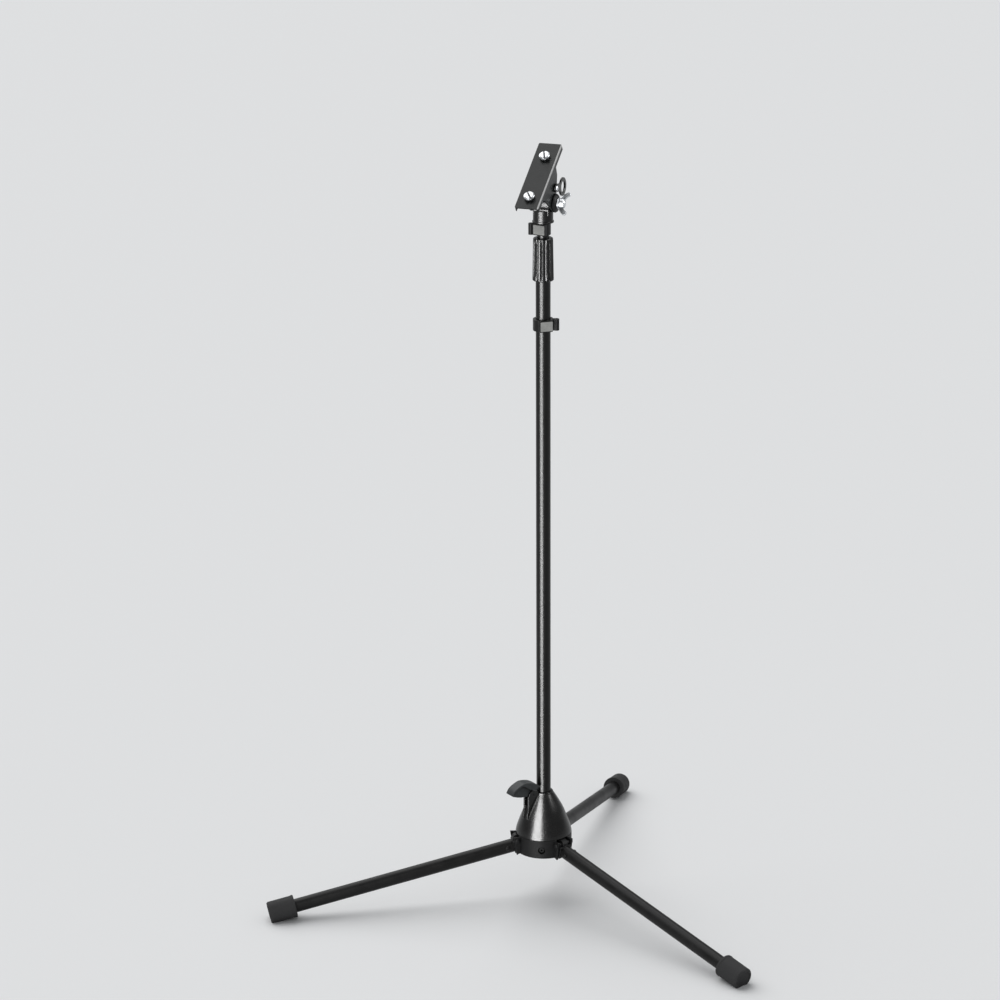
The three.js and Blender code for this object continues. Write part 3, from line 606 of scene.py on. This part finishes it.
def make_cone():
    outside = [(39.4, 99.6), (38.6, 104), (36.8, 110), (34.3, 117), (31.2, 125), (27.6, 134)]
    outside += [(22.9, 143), (17.6, 152), (13.6, 158.3)]
    inside = [(CONE_BORE, BUSH_LOW), (15.5, BUSH_LOW), (20.2, 141), (24.6, 133), (28.4, 124.5)]
    inside += [(31.4, 116.5), (33.2, 110), (33.4, SKIRT_LOW), (SKIRT_R, SKIRT_LOW), (SKIRT_R, CONE_LOW)]
    rim = [(38.9, CONE_LOW), (39.4, CONE_LOW + 0.4)]
    top = arc(12.3, CONE_TOP - 1.1, 1.1, 20, 90, 4)
    cone = lathe([*rim, *smooth(outside, 5), *top, (CONE_BORE, CONE_TOP), *inside], 128)
    ear = [(13.2, 150), (20.4, 141.4), (26.4, 132), (31, 121.5), (32.6, 125), (31.8, 133)]
    ear += [(30.3, 139), (30.3, 157), (27.6, 163), (24.6, 166), (16, 166), (13.2, 162)]
    cone = join(cone, *slab_pair(fillet(ear, 2.5, 4, closed=True), EAR_NEAR, EAR_FAR, LEVER_TURN, 0.6))
    slot = block(13.3, 20, -EAR_NEAR, EAR_NEAR, 151.6, 170, LEVER_TURN, 0)
    return cut(cone, slot, rod(LEVER_PIN_HOLE, -10, 10, SMALL, LEVER_PIN))


def make_lever():
    back = [(12, 171.8), (15.9, 174.6), (21.6, 177.8), (27.7, 179.6), (34.4, 180.8), (40.1, 180.6)]
    back = smooth([*back, (48.5, 177.3), (54.5, 173.4), (58.6, 167)], 5)
    under = [(r, z - LEVER_SKIN) for r, z in reversed(back)]
    under = [(56.6, 165.7), *[p for p in under if p[0] < 55.6]]
    skin = slab([*back, *under], -LEVER_HALF, LEVER_HALF, LEVER_TURN, 0.7)
    rib = [(12.8, 171.8), (27, 178), (34.4, 179), (40, 179), (48, 175.8), (55.8, 169), (53, 163.2)]
    rib += [(46, 160.6), (40.4, 159.2), (30, 158.2), (26, 155.6), (21, 154.4), (17, 156.1)]
    rib += [(15.2, 160), (15.2, 163.4), (12.8, 163.4)]
    cheek = [(13.4, 171.4), (15.6, 168.4), (22, 166.6), (30, 171.4), (37.4, 176.6), (41.6, 178.4)]
    cheek += [(34.4, 179.8), (27.7, 178.6), (21.6, 176.8)]
    lever = join(skin, slab(fillet(rib, 1.2, 3, closed=True), -RIB_HALF, RIB_HALF, LEVER_TURN, 0.5))
    lever = join(lever, *slab_pair(cheek, 6.6, LEVER_HALF, LEVER_TURN, 0.3))
    return cut(lever, rod(LEVER_PIN_HOLE, -10, 10, SMALL, LEVER_PIN))


piece("lock_cone", make_cone(), CONE_GLOSS)
piece("release_lever", make_lever(), LEVER_GREY)
piece("cone_bush", tube(11.25, 10.1, 145.4, 160.4), MOULDED)
piece("lever_pin", rod(LEVER_PIN_THICK, -6.9, 6.9, SMALL, LEVER_PIN), CAST)
piece("brake_pad", block(10.4, 12.5, -RIB_HALF, RIB_HALF, 163.4, 168.6, LEVER_TURN), RUBBER)

# ------------------------------------------------------------------ column, clutch and upper tube
piece("lower_tube", tube(COLUMN_R, COLUMN_R - COLUMN_WALL, COLUMN_LOW, COLUMN_TOP, FINE), TUBE)
piece("upper_tube", tube(MAST_R, MAST_R - MAST_WALL, MAST_LOW, MAST_TOP, FINE), TUBE)

fitting = [(10.12, 897.6), (12.4, 897.6), (12.4, 924), (8.12, 924), (8.12, 909.3), (10.12, 909.3)]
piece("clutch_fitting", lathe(fitting), MOULDED)
mast_bush = [(0, 178), (8.4, 178), (8.4, 189.6), (6.65, 189.6), (6.65, 204), (0, 204)]
piece("upper_tube_bush", lathe(mast_bush), NYLON)
stud = [(0, 950), (6.65, 950), (6.65, 972.3), (8, 972.3), (8, 974.7), (4.7, 974.7), (4.7, 988), (0, 988)]
piece("head_stud", lathe(stud), NICKEL)
# The collet stays as the CAD made it, because the grip hides it, and only gets its finish.
frame["nodes"]["clutch_collet"].data.materials.clear()
frame["nodes"]["clutch_collet"].data.materials.append(NYLON)


def make_grip():
    per_flute, steps = 12, 12
    sides = FLUTES * per_flute
    wall_low, wall_run, foot_round = 899, 51.9, 1.8
    wall = [(0, GRIP_LOW), (12.6, GRIP_LOW)]
    wall += [*arc(12.6, GRIP_LOW + foot_round, foot_round, -90, 0, 5), (GRIP_R, wall_low)]
    wall += [(GRIP_R - GRIP_TAPER * i / steps, wall_low + wall_run * i / steps) for i in range(1, steps + 1)]
    wall += [*arc(11.5, GRIP_TOP - 2, 2, 20, 90, 6), (0, GRIP_TOP)]
    grooves = [max(0.0, math.cos(2 * math.pi * (i % per_flute) / per_flute)) ** 1.5 for i in range(sides)]
    bm = bmesh.new()
    rings = []
    for r, z in wall:
        fade = max(0.0, min(1.0, (z - GRIP_LOW - 1.2) / 2.5, (GRIP_TOP - 0.8 - z) / 2.5))
        rings.append(ring(bm, [r - FLUTE_DEPTH * fade * groove for groove in grooves], z))
    wrap(bm, rings, sides)
    inside = [(0, 890), (12.6, 890), (12.6, 931), (11.2, 951)]
    inside += [(8.5, 951), (8.5, 953.8), (9.2, 956), (0, 956)]
    return cut(to_object(bm), lathe(inside))


piece("clutch_grip", make_grip(), GRIP)


# ------------------------------------------------------------------ cable clips and their blank labels
def make_clip(tube_r, eye, ring_r, low, high, azimuth):
    x, y, r = eye
    clip = rod(ring_r, low, high, ROUND, edge=0.8)
    pad = block(2, ring_r + 0.2, -9, 9, low, high, turn_z(azimuth), 0.7)
    to_eye = turn_z(math.degrees(math.atan2(y, x)))
    bridge = block(2, math.hypot(x, y), 0.4 - r, r - 0.4, low, high, to_eye, 0.6)
    eye_body = rod(r, low, high, SMALL, place(x, y, 0), 0.6)
    clip = join(clip, pad, bridge, eye_body)
    return cut(clip, bore(tube_r + 0.12, low, high), bore(CABLE_R, low, high, place(x, y, 0), 0.3, SMALL))


def make_label(ring_r, low, high, azimuth):
    half, margin = 8.4, 1.5
    low, high = low + margin, high - margin
    outline = fillet([(-half, low), (half, low), (half, high), (-half, high)], 1, 4, closed=True)
    return side_slab(outline, ring_r + 0.5, ring_r + 1.1, turn_z(azimuth), 0.15)


piece("lower_clip", make_clip(COLUMN_R, LOWER_EYE, **LOWER_CLIP), MOULDED)
piece("lower_label", make_label(**LOWER_CLIP), LABEL)
piece("upper_clip", make_clip(MAST_R, UPPER_EYE, **UPPER_CLIP), MOULDED)
piece("upper_label", make_label(**UPPER_CLIP), LABEL)


# ------------------------------------------------------------------ head
def make_socket():
    ring_top = SOCKET_LOW + RING_HEIGHT
    profile = [(0, SOCKET_LOW), (RING_R, SOCKET_LOW), (RING_R, ring_top)]
    profile += [(SOCKET_R, ring_top), (SOCKET_R, SOCKET_TOP), (0, SOCKET_TOP)]
    socket = lathe(fillet(profile, 0.6, 4), FINE)
    neck = block(-11, 11, -9.5, 9.5, 985, TILT_Z, HEAD, 1.2)
    barrel = rod(BARREL_R, -BARREL_HALF, BARREL_HALF, FINE, BARREL @ ALONG_X, 0.6)
    bolt = rod(BARREL_BORE, -60, 60, SMALL, BARREL @ ALONG_X)
    return cut(join(socket, neck, barrel), rod(4.85, 970, 988.6, SMALL), bolt)


def make_plate():
    half, low, high, face, thick = PLATE_HALF, PLATE_LOW, PLATE_HIGH, PLATE_FACE, PLATE_THICK
    bottom = face - 7.5  # of the flanges
    outer = fillet([(-half, bottom), (-half, face), (half, face), (half, bottom)], 1.3, 5)
    inner = fillet([(half - thick, bottom), (half - thick, face - thick), (thick - half, face - thick),
                    (thick - half, bottom)], 0.6, 3)
    channel = slab([*outer, *inner], low, high, PLATE, 0.25)
    corners = [(-half, low), (half, low), (half, high), (-half, high)]
    trim = prism(fillet(corners, 3.4, 6, closed=True), bottom - 5, face + 5, PLATE, 0)
    channel = combine(channel, [trim], "INTERSECT")
    lobe = arc(0, 0, BARREL_R - 0.2, 200, 380, 32)
    cheek = [(-30, 37), (-24, 30), *lobe, (29, 24), (32, 37)]
    walls = [side_slab(cheek, x, x + thick, PLATE, 0.35) for x in (-half, half - thick)]
    plate = join(channel, *walls)
    holes = [rod(STUD_R + 0.2, 30, 50, SMALL, PLATE @ place(0, y, 0)) for y in (STUD_LOW, STUD_HIGH)]
    bolt = rod(BOLT_BORE, -60, 60, SMALL, PLATE @ ALONG_X)
    rivet = rod(RIVET_HOLE, 0, 20, SMALL, PLATE @ place(0, RIVET_Y, RIVET_Z) @ ALONG_X)
    return cut(plate, bolt, rivet, *holes)


def make_stud(y, slot_angle):
    foot = [(0, 37.6), (6.4, 37.6), (6.4, 40.6), (STUD_R, 40.6)]
    cap = [(STUD_R, 45.6), (7.2, 45.6), (7.4, 46.2), (7.2, 48.4), (5.6, 49.4), (0, 49.6)]
    spot = PLATE @ place(0, y, 0)
    stud = lathe(fillet([*foot, *cap], 0.5, 4), ROUND, spot)
    return cut(stud, block(-1.2, 1.2, -9, 9, 47, 52, spot @ turn_z(slot_angle), 0))


def make_wing_nut():
    spot = PLATE @ turn_x(WING_LEAN - 90 - PLATE_TILT)
    hub = [(BOLT_BORE, WING_NEAR), (6.6, WING_NEAR), (6.6, WING_NEAR + 1.7)]
    hub += [(5.8, WING_FAR), (BOLT_BORE, WING_FAR)]
    nut = lathe(fillet(hub, 0.5, 4, closed=True), ROUND, spot @ ALONG_X)
    lower = smooth([(29.4, 5.2), (30.4, 7.2), (32.2, 9.6), (34.9, 11.63)], 4)
    tip = arc(32.4, 13.6, 3.2, -38, 128, 16)
    upper = smooth([(30.43, 16.12), (27.2, 13.2), (24.8, 9.6), (23.6, 5.2)], 4)
    outline = [*lower[:-1], *tip, *upper[1:]]
    wings = [slab(outline, -1.3, 1.3, spot @ turn, 0.75) for turn in (Matrix(), turn_x(180))]
    return cut(join(nut, *wings), rod(BOLT_BORE, 20, 40, SMALL, spot @ ALONG_X))


def make_eye():
    strap = [*arc(0, 0, 5.2, 90, 270, 16), *arc(EYE_RUN, 0, EYE_R, 207, 513, 48)]
    spot = PLATE @ place(0, RIVET_Y, RIVET_Z) @ turn_x(EYE_LIE)
    flat = side_slab(strap, EYE_NEAR, EYE_FAR, spot, 0.6)
    return cut(flat, bore(EYE_HOLE, EYE_NEAR, EYE_FAR, spot @ place(0, EYE_RUN, 0) @ ALONG_X, 0.5),
               rod(RIVET_HOLE, 15, 21, SMALL, spot @ ALONG_X))


piece("head_socket", make_socket(), SOCKET_GLOSS)
for side, low, high in (("left", -DISC_FAR, -DISC_NEAR), ("right", DISC_NEAR, DISC_FAR)):
    disc = tube(DISC_R, BARREL_BORE, low, high, ROUND, BARREL @ ALONG_X)
    piece("friction_disc_" + side, disc, MOULDED)
piece("mount_plate", make_plate(), PLATE_PAINT)
piece("plate_stud_low", make_stud(STUD_LOW, 35), NICKEL)
piece("plate_stud_high", make_stud(STUD_HIGH, 20), NICKEL)
bolt = [*smooth([(0, -21.2), (2.6, -20.8), (5.4, -19.4), (6.8, -17.4)], 4), (6.8, -16.7)]
bolt += [(BOLT_R, -16.7), (BOLT_R, BOLT_END - 0.8), (BOLT_R - 0.7, BOLT_END), (0, BOLT_END)]
piece("tilt_bolt", lathe(bolt, ROUND, PLATE @ ALONG_X), NICKEL)
cap = [(BOLT_BORE, CAP_NEAR), (BARREL_R, CAP_NEAR), (BARREL_R, CAP_FAR - 2.9)]
cap += [(BARREL_R - 1.2, CAP_FAR - 1.2), (9, CAP_FAR), (BOLT_BORE, CAP_FAR)]
piece("clamp_cap", lathe(fillet(cap, 0.8, 4, closed=True), FINE, PLATE @ ALONG_X), CAST)
piece("clamp_washer", tube(7.6, BOLT_BORE, WASHER_NEAR, WASHER_FAR, ROUND, PLATE @ ALONG_X), NICKEL)
piece("wing_nut", make_wing_nut(), NICKEL)
piece("cable_eye", make_eye(), CONE_GLOSS)
rivet = [(0, 12.7), (2.8, 12.8), (2.8, 14), (RIVET_HOLE - 0.15, 14), (RIVET_HOLE - 0.15, 19.7)]
rivet += [(3.4, 19.7), (3.2, 20.4), (2.4, 21.1), (0, 21.6)]
piece("eye_rivet", lathe(rivet, SMALL, PLATE @ place(0, RIVET_Y, RIVET_Z) @ ALONG_X), NICKEL)

# ------------------------------------------------------------------ floor, light and camera
FLOOR_HALF = 30
bm = bmesh.new()
corners = ((-1, -1), (1, -1), (1, 1), (-1, 1))
bm.faces.new([bm.verts.new((FLOOR_HALF * x, FLOOR_HALF * y, 0)) for x, y in corners])
floor = to_object(bm)
floor.name = "floor"
floor_paint = bpy.data.materials.new("floor_paint")
floor_paint.use_nodes = True
floor_shader = floor_paint.node_tree.nodes["Principled BSDF"]
floor_shader.inputs["Base Color"].default_value = (0.8, 0.805, 0.81, 1)
floor_shader.inputs["Roughness"].default_value = 0.9
floor_shader.inputs["Specular IOR Level"].default_value = 0.1
floor.data.materials.append(floor_paint)

world = bpy.data.worlds.new("studio")
bpy.context.scene.world = world
world.use_nodes = True
background = world.node_tree.nodes["Background"]
background.inputs["Color"].default_value = (0.97, 0.985, 1, 1)
background.inputs["Strength"].default_value = 0.4
bpy.context.scene.view_settings.view_transform = "Standard"


def all_except(name, *left_out):
    """A collection for light linking that stands for everything but the objects given."""
    made = bpy.data.collections.new(name)
    for thing in left_out:
        made.objects.link(thing)
    for entry in made.collection_objects:
        entry.light_linking.link_state = "EXCLUDE"
    return made


def add_light(name, kind, spot, target, **settings):
    data = bpy.data.lights.new(name, kind)
    for key, value in settings.items():
        setattr(data, key, value)
    made = bpy.data.objects.new(name, data)
    made.location = spot
    made.rotation_euler = (Vector(target) - Vector(spot)).to_track_quat("-Z", "Y").to_euler()
    bpy.context.scene.collection.objects.link(made)
    return made


def softbox(name, azimuth, distance, width, low, high, radiance, lit):
    """An upright light that faces the column. The azimuth is counted to the right, from the front."""
    a = math.radians(azimuth)
    middle = (low + high) / 2
    height = high - low
    spot = (distance * math.sin(a), -distance * math.cos(a), middle)
    made = add_light(name, "AREA", spot, (0, 0, middle), shape="RECTANGLE", size=width, size_y=height,
                     energy=radiance * math.pi * width * height)
    made.visible_camera = False
    made.visible_diffuse = False
    made.light_linking.receiver_collection = lit
    made.light_linking.blocker_collection = stand_only


# The softboxes leave the floor out, so that it stays as even as a studio sweep. The key makes the long
# highlights of the glossy pieces, and would bleach the others, which get the weaker front light. The rim
# light leaves the plate out as well, because it would turn the plate's face white in a view from the left.
KEY_AZIMUTH, RIM_AZIMUTH = -29, 80
BOX_DISTANCE = 2.2
KEY_SIZE = (1.5, -1.3, 2.1)  # width, low and high, in metres
RIM_SIZE = (1.3, 1.5, 3.6)
stand_only = all_except("stand_only", floor)
off_plate = all_except("off_plate", floor, bpy.data.objects["look_mount_plate"])
softbox("key", KEY_AZIMUTH, BOX_DISTANCE, *KEY_SIZE, 25, glossy_pieces)
softbox("front", KEY_AZIMUTH, BOX_DISTANCE, *KEY_SIZE, 4, stand_only)
softbox("rim", RIM_AZIMUTH, BOX_DISTANCE, *RIM_SIZE, 13, off_plate)
add_light("sky", "SUN", (0, 0, 0), (0.8, -0.9, -1.5), energy=2.1, angle=math.radians(70))

CAMERA_SPOT = (-0.05906, -4.08206, 1.9108)
PITCH = math.radians(17.949)
ROLL = math.radians(-0.309)
SENSOR, LENS = 36, 113.36292
ahead = Vector((0, math.cos(PITCH), -math.sin(PITCH)))
level_up = Vector((0, math.sin(PITCH), math.cos(PITCH)))
level_right = Vector((1, 0, 0))
right = math.cos(ROLL) * level_right + math.sin(ROLL) * level_up
up = math.cos(ROLL) * level_up - math.sin(ROLL) * level_right
camera_data = bpy.data.cameras.new("camera")
camera_data.sensor_width = SENSOR
camera_data.lens = LENS
camera = bpy.data.objects.new("camera", camera_data)
bpy.context.scene.collection.objects.link(camera)
facing = Matrix((right, up, -ahead)).transposed().to_4x4()
camera.matrix_world = Matrix.Translation(CAMERA_SPOT) @ facing
bpy.context.scene.camera = camera
